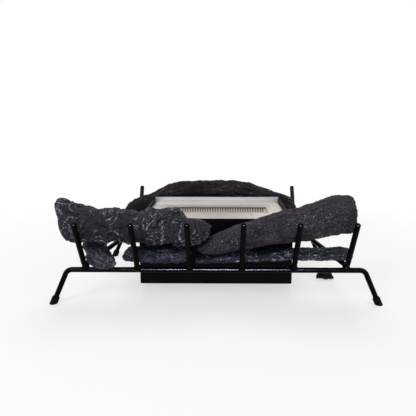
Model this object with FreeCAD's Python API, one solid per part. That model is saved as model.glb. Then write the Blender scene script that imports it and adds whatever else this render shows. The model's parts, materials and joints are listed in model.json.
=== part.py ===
import FreeCAD, Part
import math
import os

# A log grate of bent rod around a fuel burner that drops into a sheet housing.
# Millimetres. X to the right, Y to the back, Z up, origin on the hearth under the middle of the grate.

# Rods of the grate
rod_d = 9.5
bar_height = 65.0  # centre line of the front and rear bars
bar_bend_r = 14.0
bar_overhang = 33.5  # bar past the side rail, up to the bend
leg_splay = 29.0
tine_pitch = 94.0
tine_count = 6
tine_rise = 100.0  # tip above the centre line of the bars
tine_lean_deg = 25.0
tip_round = 3.0
rail_bend_r = 12.0
rail_taper = 48.0  # how much nearer to the middle each rail is at the back
weld_gap = 0.1
weld_bead_r = 7.0

# Rubber caps on the legs
cap_d = 13.5
cap_length = 14.5
cap_round = 2.5
cap_floor = 5.5  # rubber under the end of the leg, along the leg
cap_fit = 0.1

# Sheet housing
housing_width = 296.0
housing_depth = 178.0
housing_height = 130.0
housing_sheet = 1.5
housing_corner_r = 4.0
hem_height = 7.0
log_trough = 48.6  # centre line of the front bar to the housing
rear_gap = 7.5  # housing to the centre line of the rear bar
housing_foot_d = 22.0
housing_foot_height = 16.0
housing_foot_inset = 55.0
foot_screw_d = 5.0
foot_screw_head_d = 9.5
foot_screw_head_height = 2.6
foot_screw_depth = 9.0
hole_fit = 0.05

# Ledges that carry the burner, and their rivets
ledge_width = 15.0
ledge_drop = 14.0
ledge_end_gap = 12.0
rivet_d = 4.0
rivet_head_d = 7.5
rivet_head_height = 1.6
rivets_per_ledge = 3

# Burner
burner_sheet = 1.2
burner_recess = 8.5  # rim of the housing down to the top plate
plate_gap = 1.0
lip_height = 12.5
slot_depth = 48.0
slot_front_margin = 78.0  # front of the housing to the burner slot
tank_height = 70.0
tank_side_gap = 7.5  # ledge to the tank
tank_end_margin = 3.0
slide_space = 2.4  # room for the regulator between the plate and the collar
collar_height = 22.0
vapour_hole_d = 3.2
vapour_hole_pitch = 5.6
vapour_hole_rows = 2
vapour_row_pitch = 3.8
vapour_top_margin = 0.3
vapour_end_margin = 4.0
wool_height = 36.0
wool_gap = 0.5

# Regulator plate under the top plate
slide_sheet = 0.8
slide_overlap = 3.0
slide_side_overlap = 4.0
slide_play = 0.3
guide_lip = 5.0
guide_gap = 7.7  # end wall of the tank to the slide guide
regulator_end_margin = 41.5  # stem to the right edge of the slide
regulator_d = 4.0
regulator_head_d = 7.0
regulator_head_height = 2.5
regulator_stem = 4.5  # stem above the top plate
regulator_edge = 4.0  # stem centre to the front edge of the slide
regulator_slot_width = 5.0
slide_front_gap = 1.0

# Logs: the centre line sits this high above the centre line of the bars
log_gap = 0.4
upper_left_log_length = 267.0
upper_left_log_thick = 74.0
upper_left_log_sit = 79.0
upper_left_log_end = 6.0  # its inner end, left of the middle
upper_right_log_length = 275.0
upper_right_log_thick = 72.0
upper_right_log_rise = 69.5
upper_right_log_end = 34.0  # its inner end, left of the middle
lower_left_log_length = 121.0
lower_left_log_thick = 28.0
lower_left_log_sit = 21.0
lower_left_log_middle = 107.0  # its middle, left of the middle of the grate
lower_right_log_thick = 23.0
lower_right_log_depth = 40.0
lower_right_log_tip = 36.0  # its thin end, left of the middle
lower_right_log_tip_sit = 9.0
lower_right_log_overhang = 13.0  # past the right rail
stub_log_length = 51.0
stub_log_width = 46.0
stub_log_thick = 34.0
stub_log_overhang = 14.0  # in front of the front bar
stub_log_near_inset = 38.0  # right of the left rail, at the front end
stub_log_far_inset = 1.0
back_log_length = 408.0
back_log_thick = 51.5
back_log_rise = 43.0
back_log_sit = 52.5
back_log_overhang = 32.0  # past the left rear tine
ember_width = 34.0
ember_depth = 28.0
ember_height = 20.0
ember_x = 229.0
ember_y = -8.0
ember_gap = 0.3

# Lumps of the bark: how far apart, how deep on each log, and the sections and points that carry them
bark_pitch = 41.0
bark_short_pitch = 26.0
bark_long_share = 0.55
bark_step = 11.0
section_points = 20
upper_left_log_bark = 5.5
upper_right_log_bark = 2.6
lower_log_bark = 1.6
stub_log_bark = 1.8
back_log_bark = 2.4
ember_bark = 2.0

# Along the log, centre line over the log's thickness, thickness, depth in the trough
upper_left_seat_shares = (0.494, -0.01, 0.84, 1.00)  # between a tine and the housing
upper_left_log_shares = [
    (0.000, 0.41, 0.42, 0.48),
    (0.018, 0.29, 0.72, 0.72),
    (0.055, 0.12, 0.99, 0.90),
    (0.100, 0.08, 1.00, 0.98),
    (0.180, 0.05, 0.98, 1.00),
    (0.270, 0.03, 0.89, 0.98),
    (0.410, 0.00, 0.84, 0.98),
    upper_left_seat_shares,
    (0.540, -0.02, 0.84, 0.98),
    (0.670, -0.01, 0.92, 1.00),
    (0.770, -0.03, 0.93, 0.98),
    (0.800, -0.08, 0.84, 0.95),
    (0.830, -0.13, 0.71, 0.90),
    (0.890, -0.13, 0.64, 0.82),
    (0.950, -0.12, 0.51, 0.68),
    (0.985, -0.10, 0.36, 0.48),
    (1.000, -0.08, 0.20, 0.26),
]
# Along the log, rise of the centre line, thickness, depth in the trough
upper_right_seat_shares = (0.117, 0.13, 0.53, 0.84)  # lies on the log below
upper_right_lean_shares = (0.641, 0.69, 0.82, 1.00)  # between a tine and the housing
upper_right_log_shares = [
    (0.000, 0.00, 0.12, 0.18),
    (0.014, 0.01, 0.23, 0.35),
    (0.042, 0.04, 0.37, 0.56),
    (0.083, 0.09, 0.47, 0.74),
    upper_right_seat_shares,
    (0.255, 0.31, 0.65, 0.92),
    (0.400, 0.49, 0.73, 0.97),
    (0.548, 0.62, 0.79, 1.00),
    upper_right_lean_shares,
    (0.766, 0.83, 0.91, 0.97),
    (0.860, 0.95, 0.98, 0.94),
    (0.928, 1.00, 1.00, 0.92),
    (0.972, 1.01, 0.97, 0.89),
    (0.992, 1.01, 0.90, 0.83),
    (1.000, 1.01, 0.78, 0.72),
]
# Along the log, centre line over the log's thickness, thickness, depth in the trough
lower_left_seat_shares = (0.22, 0.03, 0.94, 1.00)  # between a tine and the housing
lower_left_log_shares = [
    (0.00, 0.04, 0.44, 0.50),
    (0.03, 0.04, 0.74, 0.76),
    (0.09, 0.03, 0.89, 0.91),
    lower_left_seat_shares,
    (0.40, 0.01, 0.97, 1.00),
    (0.60, 0.00, 1.00, 1.00),
    (0.80, -0.02, 0.99, 0.98),
    (0.93, -0.04, 0.89, 0.90),
    (1.00, -0.05, 0.52, 0.60),
]
# Along the log, rise of the centre line, thickness, depth
lower_right_prop_shares = (0.124, 0.36, 0.64, 0.85)  # under the upper right log
lower_right_seat_shares = (0.931, 1.00, 1.00, 1.00)  # on the right rail
lower_right_log_shares = [
    (0.000, 0.00, 0.23, 0.30),
    (0.028, 0.09, 0.41, 0.50),
    (0.072, 0.23, 0.54, 0.70),
    lower_right_prop_shares,
    (0.220, 0.54, 0.74, 0.93),
    (0.316, 0.67, 0.81, 0.98),
    (0.485, 0.81, 0.85, 1.00),
    (0.663, 0.90, 0.88, 1.00),
    (0.828, 0.96, 0.95, 1.00),
    lower_right_seat_shares,
    (0.976, 1.00, 0.82, 0.85),
    (1.000, 1.00, 0.45, 0.45),
]
# Along the log, height and width of the section
stub_log_seat_shares = (0.27, 1.00, 1.00)  # on the front bar
stub_log_shares = [
    (0.00, 0.54, 0.55),
    (0.08, 0.85, 0.87),
    stub_log_seat_shares,
    (0.50, 1.00, 1.00),
    (0.75, 0.91, 0.97),
    (0.92, 0.82, 0.86),
    (1.00, 0.54, 0.60),
]
stub_log_climb_share = 0.45  # rise of the stub over its run, so that it clears the side rail
# Along the log, rise of the arch, thickness, depth in the trough
back_log_seat_shares = (0.887, 0.42, 0.86, 1.00)  # behind the housing
back_log_shares = [
    (0.000, -0.06, 0.27, 0.40),
    (0.012, -0.02, 0.54, 0.70),
    (0.047, 0.08, 0.75, 0.92),
    (0.080, 0.19, 0.80, 1.00),
    (0.140, 0.37, 0.82, 1.00),
    (0.205, 0.66, 0.88, 0.98),
    (0.275, 0.88, 0.94, 0.95),
    (0.350, 0.97, 0.98, 0.95),
    (0.436, 1.00, 1.00, 0.96),
    (0.527, 1.00, 1.00, 0.96),
    (0.620, 0.99, 0.99, 0.95),
    (0.725, 0.93, 0.96, 0.95),
    (0.805, 0.69, 0.92, 0.97),
    back_log_seat_shares,
    (0.960, 0.18, 0.82, 1.00),
    (0.983, 0.10, 0.72, 0.88),
    (0.995, 0.05, 0.50, 0.64),
    (1.000, 0.03, 0.27, 0.38),
]
# Along the width, height, depth
ember_seat_shares = (0.45, 1.00, 1.00)  # on the hearth
ember_shares = [
    (0.00, 0.32, 0.42),
    (0.13, 0.72, 0.78),
    ember_seat_shares,
    (0.78, 0.88, 0.93),
    (0.94, 0.56, 0.62),
    (1.00, 0.30, 0.36),
]

cut_over = 5.0  # overrun of every cut

# Places that follow from the sizes above
rod_r = rod_d / 2
lean = math.radians(tine_lean_deg)
front_half = tine_pitch * (tine_count - 1) / 2
rear_half = front_half - rail_taper
bar_spacing = log_trough + housing_depth + rear_gap
front_y = -bar_spacing / 2
rear_y = bar_spacing / 2
rail_z = bar_height + rod_d + weld_gap / 2
housing_front = front_y + log_trough
housing_rear = housing_front + housing_depth
housing_mid = (housing_front + housing_rear) / 2
housing_bottom = housing_foot_height
rim_z = housing_bottom + housing_height
plate_top = rim_z - burner_recess
plate_bottom = plate_top - burner_sheet
plate_width = housing_width - 4 * housing_sheet - 2 * plate_gap
plate_depth = housing_depth - 4 * housing_sheet - 2 * plate_gap
plate_front = housing_mid - plate_depth / 2
plate_rear = housing_mid + plate_depth / 2
tank_width = housing_width - 2 * (housing_sheet + ledge_width + tank_side_gap)
tank_front = plate_front + tank_end_margin
tank_rear = plate_rear - tank_end_margin
tank_bottom = plate_bottom - tank_height
slide_width = tank_width - 2 * (burner_sheet + guide_gap + slide_sheet + slide_play)
slot_width = slide_width - 2 * slide_side_overlap
slot_front = housing_front + slot_front_margin
slot_rear = slot_front + slot_depth
collar_top = plate_bottom - slide_space
collar_bottom = collar_top - collar_height
slide_travel = slot_depth + slide_overlap
slide_front = tank_front + burner_sheet + slide_front_gap
slide_rear = slot_front
slide_top = plate_bottom - slide_play
slide_bottom = slide_top - slide_sheet
regulator_x = slide_width / 2 - regulator_end_margin
regulator_y = slide_front + regulator_edge


def vec(x, y, z):
    return FreeCAD.Vector(x, y, z)


def box(x0, x1, y0, y1, z0, z1):
    return Part.makeBox(x1 - x0, y1 - y0, z1 - z0, vec(x0, y0, z0))


def upright(radius, x, y, z0, z1):
    return Part.makeCylinder(radius, z1 - z0, vec(x, y, z0))


def rounded_block(width, depth, radius, y_mid, z0, z1):
    block = box(-width / 2, width / 2, y_mid - depth / 2, y_mid + depth / 2, z0, z1)
    corners = []
    for edge in block.Edges:
        if edge.BoundBox.ZLength > (z1 - z0) / 2:
            corners.append(edge)
    return block.makeFillet(radius, corners)


def bent_path(points, radius):
    """Straight runs joined by tangent arcs."""
    edges = []
    start = points[0]
    for before, corner, after in zip(points, points[1:], points[2:]):
        back = (before - corner).normalize()
        ahead = (after - corner).normalize()
        half = back.getAngle(ahead) / 2
        reach = radius / math.tan(half)
        middle = (back + ahead).normalize() * (radius / math.sin(half) - radius)
        arc_start = corner + back * reach
        arc_end = corner + ahead * reach
        edges.append(Part.LineSegment(start, arc_start).toShape())
        edges.append(Part.Arc(arc_start, corner + middle, arc_end).toShape())
        start = arc_end
    edges.append(Part.LineSegment(start, points[-1]).toShape())
    return Part.Wire(edges)


def bent_rod(points, radius):
    path = bent_path(points, radius)
    ring = Part.Wire(Part.makeCircle(rod_r, points[0], points[1] - points[0]))
    return path.makePipeShell([ring], True, False)


def rounded_tip(rod, tip):
    """Rounds the end of a rod whose end face is centred on tip."""
    rims = []
    for edge in rod.Edges:
        if hasattr(edge.Curve, "Center") and edge.Curve.Center.distanceToPoint(tip) < rod_r / 2:
            rims.append(edge)
    return rod.makeFillet(tip_round, rims)


def tine_reach(z):
    """How far a tine has leaned away from its bar at the height z."""
    return (z - bar_height) * math.tan(lean)


def leg_direction():
    return vec(leg_splay, 0, -bar_height).normalize()


def grate_bar(rail_half, y):
    bend = rail_half + bar_overhang
    right_bend = vec(bend, y, bar_height)
    right_foot = vec(bend + leg_splay, y, 0) - leg_direction() * cap_floor
    left_bend = vec(-right_bend.x, y, right_bend.z)
    left_foot = vec(-right_foot.x, y, right_foot.z)
    return bent_rod([left_foot, left_bend, right_bend, right_foot], bar_bend_r)


def side_rail(side):
    tip_z = bar_height + tine_rise
    front_tip = vec(side * front_half, front_y - tine_reach(tip_z), tip_z)
    front_corner = vec(side * front_half, front_y - tine_reach(rail_z), rail_z)
    rear_corner = vec(side * rear_half, rear_y + tine_reach(rail_z), rail_z)
    rear_tip = vec(side * rear_half, rear_y + tine_reach(tip_z), tip_z)
    rail = bent_rod([front_tip, front_corner, rear_corner, rear_tip], rail_bend_r)
    return rounded_tip(rounded_tip(rail, front_tip), rear_tip)


def front_bar_run(radius):
    return Part.makeCylinder(radius, 2 * front_half, vec(-front_half, front_y, bar_height), vec(1, 0, 0))


def tine_axis():
    return vec(0, -math.sin(lean), math.cos(lean))


def front_tine(x):
    foot = vec(x, front_y, bar_height)
    length = tine_rise / math.cos(lean)
    rod = Part.makeCylinder(rod_r, length, foot, tine_axis())
    return rounded_tip(rod, foot + tine_axis() * length).cut(front_bar_run(rod_r + weld_gap))


def tine_bead(x):
    foot = vec(x, front_y, bar_height)
    ball = Part.makeSphere(weld_bead_r, foot + tine_axis() * rod_r)
    rod = Part.makeCylinder(rod_r + weld_gap, tine_rise, foot, tine_axis())
    return ball.cut(front_bar_run(rod_r + weld_gap)).cut(rod)


def crossing_bead(side, rail_half, y, rail):
    """Weld between a bar and the rail that lies on it, cut to the shape of both."""
    rail_x = side * rail_half
    ball = Part.makeSphere(weld_bead_r, vec(rail_x, y, bar_height + rod_r))
    bar_room = Part.makeCylinder(
        rod_r + weld_gap, 2 * weld_bead_r, vec(rail_x - weld_bead_r, y, bar_height), vec(1, 0, 0)
    )
    lump = ball.cut(bar_room).cut(rail)
    pieces = sorted(lump.Solids, key=lambda solid: solid.CenterOfMass.z)
    return pieces[0]


def foot_cap(side, rail_half, y):
    """Round rubber boot along the leg, cut flat on the hearth."""
    profile_top = cap_length
    outer = cap_d / 2
    below = outer * leg_splay / bar_height + cap_round
    round_mid = cap_round * (1 - math.sin(math.pi / 4))
    points = [
        Part.LineSegment(vec(0, 0, -below), vec(outer, 0, -below)),
        Part.LineSegment(vec(outer, 0, -below), vec(outer, 0, profile_top - cap_round)),
        Part.Arc(
            vec(outer, 0, profile_top - cap_round),
            vec(outer - round_mid, 0, profile_top - round_mid),
            vec(outer - cap_round, 0, profile_top),
        ),
        Part.LineSegment(vec(outer - cap_round, 0, profile_top), vec(0, 0, profile_top)),
        Part.LineSegment(vec(0, 0, profile_top), vec(0, 0, -below)),
    ]
    face = Part.Face(Part.Wire([piece.toShape() for piece in points]))
    boot = face.revolve(vec(0, 0, 0), vec(0, 0, 1), 360)
    bore = Part.makeCylinder(rod_r + cap_fit, cap_length + cut_over, vec(0, 0, cap_floor))
    boot = boot.cut(bore)
    foot_x = side * (rail_half + bar_overhang + leg_splay)
    turn = FreeCAD.Rotation(vec(0, 0, 1), vec(-side * leg_splay, 0, bar_height))
    boot.Placement = FreeCAD.Placement(vec(foot_x, y, 0), turn)
    hearth = box(foot_x - cap_length, foot_x + cap_length, y - cap_length, y + cap_length, -cap_length, 0)
    return boot.cut(hearth)


def ledge_rivet_places():
    """(side, y, z) of each rivet in the side walls."""
    z = plate_bottom - housing_sheet - (ledge_drop - housing_sheet) / 2
    first = housing_front + housing_sheet + ledge_end_gap * 2
    last = housing_rear - housing_sheet - ledge_end_gap * 2
    step = (last - first) / (rivets_per_ledge - 1)
    return [(side, first + step * i, z) for side in (-1, 1) for i in range(rivets_per_ledge)]


def side_hole(radius, side, y, z):
    inner = side * (housing_width / 2 - 2 * housing_sheet - cut_over)
    length = 2 * (cut_over + housing_sheet) + cut_over
    return Part.makeCylinder(radius, length, vec(inner, y, z), vec(side, 0, 0))


def foot_places():
    half = housing_width / 2 - housing_foot_inset
    front = housing_front + housing_foot_inset
    rear = housing_rear - housing_foot_inset
    return [(x, y) for y in (front, rear) for x in (-half, half)]


def sheet_housing():
    """Open box of folded sheet whose rim is turned in and flattened."""
    shell = rounded_block(housing_width, housing_depth, housing_corner_r, housing_mid, housing_bottom, rim_z)
    inner_r = housing_corner_r - housing_sheet
    inner = rounded_block(
        housing_width - 2 * housing_sheet,
        housing_depth - 2 * housing_sheet,
        inner_r,
        housing_mid,
        housing_bottom + housing_sheet,
        rim_z - hem_height,
    )
    mouth = rounded_block(
        housing_width - 4 * housing_sheet,
        housing_depth - 4 * housing_sheet,
        inner_r - housing_sheet / 2,
        housing_mid,
        rim_z - hem_height,
        rim_z + cut_over,
    )
    shell = shell.cut(inner).cut(mouth)
    for side, y, z in ledge_rivet_places():
        shell = shell.cut(side_hole(rivet_d / 2 + hole_fit, side, y, z))
    for x, y in foot_places():
        shell = shell.cut(
            upright(foot_screw_d / 2 + hole_fit, x, y, housing_bottom - cut_over, housing_bottom + cut_over)
        )
    return shell


def burner_ledge(side):
    """Angle on the side wall under the edge of the burner's top plate."""
    wall = housing_width / 2 - housing_sheet
    front = housing_front + housing_sheet + ledge_end_gap
    rear = housing_rear - housing_sheet - ledge_end_gap
    shelf = box(wall - ledge_width, wall, front, rear, plate_bottom - housing_sheet, plate_bottom)
    web = box(wall - housing_sheet, wall, front, rear, plate_bottom - ledge_drop, plate_bottom)
    angle = shelf.fuse(web).removeSplitter()
    if side < 0:
        angle = angle.mirror(vec(0, 0, 0), vec(1, 0, 0))
    for hole_side, y, z in ledge_rivet_places():
        if hole_side == side:
            angle = angle.cut(side_hole(rivet_d / 2 + hole_fit, side, y, z))
    return angle.Solids[0]


def ledge_rivets():
    rivets = []
    outer = housing_width / 2
    inner = outer - 2 * housing_sheet
    for side, y, z in ledge_rivet_places():
        way = vec(side, 0, 0)
        shank = Part.makeCylinder(rivet_d / 2, outer - inner, vec(side * inner, y, z), way)
        head = rivet_head(vec(side * outer, y, z), way)
        tail = rivet_head(vec(side * inner, y, z), vec(-side, 0, 0))
        rivets.append(shank.fuse(head).fuse(tail).removeSplitter().Solids[0])
    return Part.Compound(rivets)


def rivet_head(base, way):
    """Low dome on a flat base."""
    rim = rivet_head_d / 2
    radius = (rim * rim + rivet_head_height * rivet_head_height) / (2 * rivet_head_height)
    ball = Part.makeSphere(radius, base + way * (rivet_head_height - radius))
    return ball.common(Part.makeCylinder(rivet_head_d, rivet_head_height * 2, base, way))


def housing_foot(x, y):
    foot = upright(housing_foot_d / 2, x, y, 0, housing_foot_height)
    bore_bottom = housing_foot_height - foot_screw_depth
    bore = upright(foot_screw_d / 2 + hole_fit, x, y, bore_bottom, housing_foot_height + cut_over)
    return foot.cut(bore)


def foot_screws():
    screws = []
    floor_z = housing_bottom + housing_sheet
    for x, y in foot_places():
        shank = upright(foot_screw_d / 2, x, y, housing_bottom - foot_screw_depth, floor_z)
        head = upright(foot_screw_head_d / 2, x, y, floor_z, floor_z + foot_screw_head_height)
        screws.append(shank.fuse(head).removeSplitter().Solids[0])
    return Part.Compound(screws)


def burner_plate():
    """Stainless top plate with its rear edge turned up, the burner slot and the regulator's slot."""
    half = plate_width / 2
    plate = box(-half, half, plate_front, plate_rear, plate_bottom, plate_top)
    lip = box(-half, half, plate_rear - burner_sheet, plate_rear, plate_bottom, plate_top + lip_height)
    plate = plate.fuse(lip).removeSplitter()
    slot = box(
        -slot_width / 2, slot_width / 2, slot_front, slot_rear, plate_bottom - cut_over, plate_top + cut_over
    )
    track_half = regulator_slot_width / 2
    track = box(
        regulator_x - track_half,
        regulator_x + track_half,
        regulator_y - track_half,
        regulator_y + slide_travel + track_half,
        plate_bottom - cut_over,
        plate_top + cut_over,
    )
    return plate.cut(slot).cut(track).Solids[0]


def fuel_tank():
    half = tank_width / 2
    outer = box(-half, half, tank_front, tank_rear, tank_bottom, plate_bottom)
    inner = box(
        -half + burner_sheet,
        half - burner_sheet,
        tank_front + burner_sheet,
        tank_rear - burner_sheet,
        tank_bottom + burner_sheet,
        plate_bottom + cut_over,
    )
    return outer.cut(inner)


def perforated_wall(y):
    """Long wall of the collar with its rows of vapour holes, from one end wall of the tank to the other."""
    half = tank_width / 2 - burner_sheet
    wall = box(-half, half, y, y + burner_sheet, collar_bottom, collar_top)
    holes = []
    count = int((slot_width - 2 * vapour_end_margin) / vapour_hole_pitch) + 1
    first = -(count - 1) * vapour_hole_pitch / 2
    for row in range(vapour_hole_rows):
        z = collar_top - vapour_top_margin - vapour_hole_d / 2 - vapour_row_pitch * row
        for i in range(count):
            x = first + i * vapour_hole_pitch
            holes.append(
                Part.makeCylinder(
                    vapour_hole_d / 2, burner_sheet + 2 * cut_over, vec(x, y - cut_over, z), vec(0, 1, 0)
                )
            )
    return wall.cut(Part.Compound(holes)).Solids[0]


def vapour_collar():
    walls = [perforated_wall(slot_front - burner_sheet), perforated_wall(slot_rear)]
    half = slot_width / 2
    walls.append(box(-half - burner_sheet, -half, slot_front, slot_rear, collar_bottom, collar_top))
    walls.append(box(half, half + burner_sheet, slot_front, slot_rear, collar_bottom, collar_top))
    return Part.Compound(walls)


def fibre_wool():
    half = tank_width / 2 - burner_sheet - wool_gap
    front = tank_front + burner_sheet + wool_gap
    rear = tank_rear - burner_sheet - wool_gap
    floor_z = tank_bottom + burner_sheet
    return box(-half, half, front, rear, floor_z, floor_z + wool_height)


def slide_guide(side):
    """Angle under the top plate that carries one edge of the regulator."""
    edge = slide_width / 2 + slide_play
    shelf_top = slide_bottom - slide_play
    rear = slide_rear + slide_travel
    web = box(edge, edge + slide_sheet, slide_front, rear, shelf_top - slide_sheet, plate_bottom)
    shelf = box(edge - guide_lip, edge + slide_sheet, slide_front, rear, shelf_top - slide_sheet, shelf_top)
    guide = web.fuse(shelf).removeSplitter().Solids[0]
    if side < 0:
        guide = guide.mirror(vec(0, 0, 0), vec(1, 0, 0))
    return guide


def regulator_slide():
    half = slide_width / 2
    plate = box(-half, half, slide_front, slide_rear - slide_front_gap, slide_bottom, slide_top)
    hole_r = regulator_d / 2 + hole_fit
    return plate.cut(upright(hole_r, regulator_x, regulator_y, slide_bottom - cut_over, slide_top + cut_over))


def regulator_knob():
    head_z = plate_top + regulator_stem
    stem = upright(regulator_d / 2, regulator_x, regulator_y, slide_bottom, head_z)
    head = upright(
        regulator_head_d / 2, regulator_x, regulator_y, head_z - regulator_head_height, head_z
    )
    return stem.fuse(head).removeSplitter().Solids[0]


def bark_rows(rows, length):
    """The rows of a log's table, with rows on straight lines between those that lie far apart."""
    dense = []
    for row, after in zip(rows, rows[1:]):
        parts = max(1, round((after[0] - row[0]) * length / bark_step))
        for k in range(parts):
            dense.append([a + (b - a) * k / parts for a, b in zip(row, after)])
    return dense + [rows[-1]]


def bark_wave(run, angle):
    """Lumps of the bark, from -1 to 1, highest on both sides of the seat."""
    long_wave = math.cos(2 * math.pi * run / bark_pitch + 2 * angle)
    short_wave = math.cos(2 * math.pi * run / bark_short_pitch - 4 * angle)
    return bark_long_share * long_wave + (1 - bark_long_share) * short_wave


def section(centre, across, half_across, half_height, run, relief, seat_angle):
    """Closed curve round a log: an oval whose bark dips in by up to the relief."""
    points = []
    for k in range(section_points):
        angle = 2 * math.pi * k / section_points
        reach = 1 - relief * (1 - bark_wave(run, angle - seat_angle)) / 2
        outward = across * (half_across * reach * math.cos(angle))
        upward = vec(0, 0, half_height * reach * math.sin(angle))
        points.append(centre + outward + upward)
    curve = Part.BSplineCurve()
    curve.interpolate(points, True)
    return Part.Wire(curve.toShape())


def log_solid(stations, across, relief, seat_angle):
    """A log through stations of (run from the seat, centre, half depth, half height)."""
    wires = []
    for run, centre, half_across, half_height in stations:
        wires.append(section(centre, across, half_across, half_height, run, relief, seat_angle))
    return Part.makeLoft(wires, True, True)


def trough_depth(z, room):
    """Clear depth between the housing and the tines, room being the gap at the bar."""
    return room + tine_reach(z) - rod_r / math.cos(lean) - 2 * log_gap


def wedged_half(z, half_height, room):
    """Half depth of an oval that touches the housing on one side and the tines on the other."""
    depth = trough_depth(z, room)
    sink = half_height * math.tan(lean)
    return depth / 2 - sink * sink / (2 * depth)


def wedged_station(run, x, z, half_height, share, room, side):
    half = wedged_half(z, half_height, room)
    if side < 0:
        y = housing_front - log_gap - half
    else:
        y = housing_rear + log_gap + half
    return run, vec(x, y, z), half * share, half_height


def upper_left_log():
    left = -upper_left_log_end - upper_left_log_length
    stations = []
    for along, raised, thick, deep in bark_rows(upper_left_log_shares, upper_left_log_length):
        z = bar_height + upper_left_log_sit + raised * upper_left_log_thick
        half_height = thick * upper_left_log_thick / 2
        x = left + along * upper_left_log_length
        run = (along - upper_left_seat_shares[0]) * upper_left_log_length
        stations.append(wedged_station(run, x, z, half_height, deep, log_trough, -1))
    return log_solid(stations, vec(0, 1, 0), 2 * upper_left_log_bark / upper_left_log_thick, 0)


def lower_right_ends():
    """Centre heights of the thin end over the front bar and of the thick end on the right rail."""
    tip_z = bar_height + lower_right_log_tip_sit
    thick = lower_right_seat_shares[2] * lower_right_log_thick / 2
    return tip_z, rail_z + rod_r + log_gap + thick


def lower_right_log():
    tip_z, seat_z = lower_right_ends()
    left = -lower_right_log_tip
    length = front_half + lower_right_log_overhang - left
    stations = []
    for along, raised, thick, deep in bark_rows(lower_right_log_shares, length):
        z = tip_z + raised * (seat_z - tip_z)
        half_height = thick * lower_right_log_thick / 2
        half_depth = lower_right_log_depth / 2
        lean_in = math.hypot(half_depth * math.cos(lean), half_height * math.sin(lean)) + log_gap
        tine_back = front_y - tine_reach(z) + rod_r / math.cos(lean)
        centre = vec(left + along * length, tine_back + lean_in / math.cos(lean), z)
        run = (along - lower_right_seat_shares[0]) * length
        stations.append((run, centre, half_depth * deep, half_height))
    return log_solid(stations, vec(0, 1, 0), 2 * lower_log_bark / lower_right_log_thick, math.pi / 2)


def upper_right_log():
    tip_z, seat_z = lower_right_ends()
    prop_raised, prop_thick = lower_right_prop_shares[1:3]
    prop_top = tip_z + prop_raised * (seat_z - tip_z) + prop_thick * lower_right_log_thick / 2
    seat_raised, seat_thick = upper_right_seat_shares[1:3]
    left_z = prop_top + log_gap + seat_thick * upper_right_log_thick / 2 - seat_raised * upper_right_log_rise
    stations = []
    for along, raised, thick, deep in bark_rows(upper_right_log_shares, upper_right_log_length):
        z = left_z + raised * upper_right_log_rise
        half_height = thick * upper_right_log_thick / 2
        x = -upper_right_log_end + along * upper_right_log_length
        run = (along - upper_right_lean_shares[0]) * upper_right_log_length
        stations.append(wedged_station(run, x, z, half_height, deep, log_trough, -1))
    return log_solid(stations, vec(0, 1, 0), 2 * upper_right_log_bark / upper_right_log_thick, 0)


def lower_left_log():
    left = -lower_left_log_middle - lower_left_log_length / 2
    stations = []
    for along, raised, thick, deep in bark_rows(lower_left_log_shares, lower_left_log_length):
        z = bar_height + lower_left_log_sit + raised * lower_left_log_thick
        half_height = thick * lower_left_log_thick / 2
        x = left + along * lower_left_log_length
        run = (along - lower_left_seat_shares[0]) * lower_left_log_length
        stations.append(wedged_station(run, x, z, half_height, deep, log_trough, -1))
    return log_solid(stations, vec(0, 1, 0), 2 * lower_log_bark / lower_left_log_thick, 0)


def stub_log():
    """Short log that lies across the front bar and points at the viewer."""
    near = vec(-front_half + stub_log_near_inset, front_y - stub_log_overhang, 0)
    far = vec(-front_half + stub_log_far_inset, near.y + stub_log_length, 0)
    seat_z = bar_height + rod_r + log_gap + stub_log_thick / 2
    stations = []
    for along, tall, wide in bark_rows(stub_log_shares, stub_log_length):
        centre = near + (far - near) * along
        climb = (along - stub_log_seat_shares[0]) * stub_log_length * stub_log_climb_share
        run = (along - stub_log_seat_shares[0]) * stub_log_length
        raised = vec(centre.x, centre.y, seat_z + climb)
        stations.append((run, raised, wide * stub_log_width / 2, tall * stub_log_thick / 2))
    return log_solid(stations, vec(1, 0, 0), 2 * stub_log_bark / stub_log_thick, math.pi / 2)


def back_log():
    left = -rear_half - back_log_overhang
    stations = []
    for along, raised, thick, deep in bark_rows(back_log_shares, back_log_length):
        z = bar_height + back_log_sit + raised * back_log_rise
        half_height = thick * back_log_thick / 2
        x = left + along * back_log_length
        run = (along - back_log_seat_shares[0]) * back_log_length
        stations.append(wedged_station(run, x, z, half_height, deep, rear_gap, 1))
    return log_solid(stations, vec(0, 1, 0), 2 * back_log_bark / back_log_thick, 0)


def loose_ember():
    stations = []
    for along, tall, deep in bark_rows(ember_shares, ember_width):
        half_height = tall * ember_height / 2
        centre = vec(ember_x + (along - 1 / 2) * ember_width, ember_y, half_height + ember_gap)
        run = (along - ember_seat_shares[0]) * ember_width
        stations.append((run, centre, deep * ember_depth / 2, half_height))
    return log_solid(stations, vec(0, 1, 0), 2 * ember_bark / ember_height, math.pi / 2)


def weld_beads(rails):
    beads = [tine_bead(x) for x in inner_tine_places()]
    for side in (-1, 1):
        beads.append(crossing_bead(side, front_half, front_y, rails[side]))
        beads.append(crossing_bead(side, rear_half, rear_y, rails[side]))
    return Part.Compound(beads)


def inner_tine_places():
    return [-front_half + tine_pitch * i for i in range(1, tine_count - 1)]


def save(name, shape):
    shape.exportStep("parts/" + name + ".step")


os.makedirs("parts", exist_ok=True)

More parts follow.
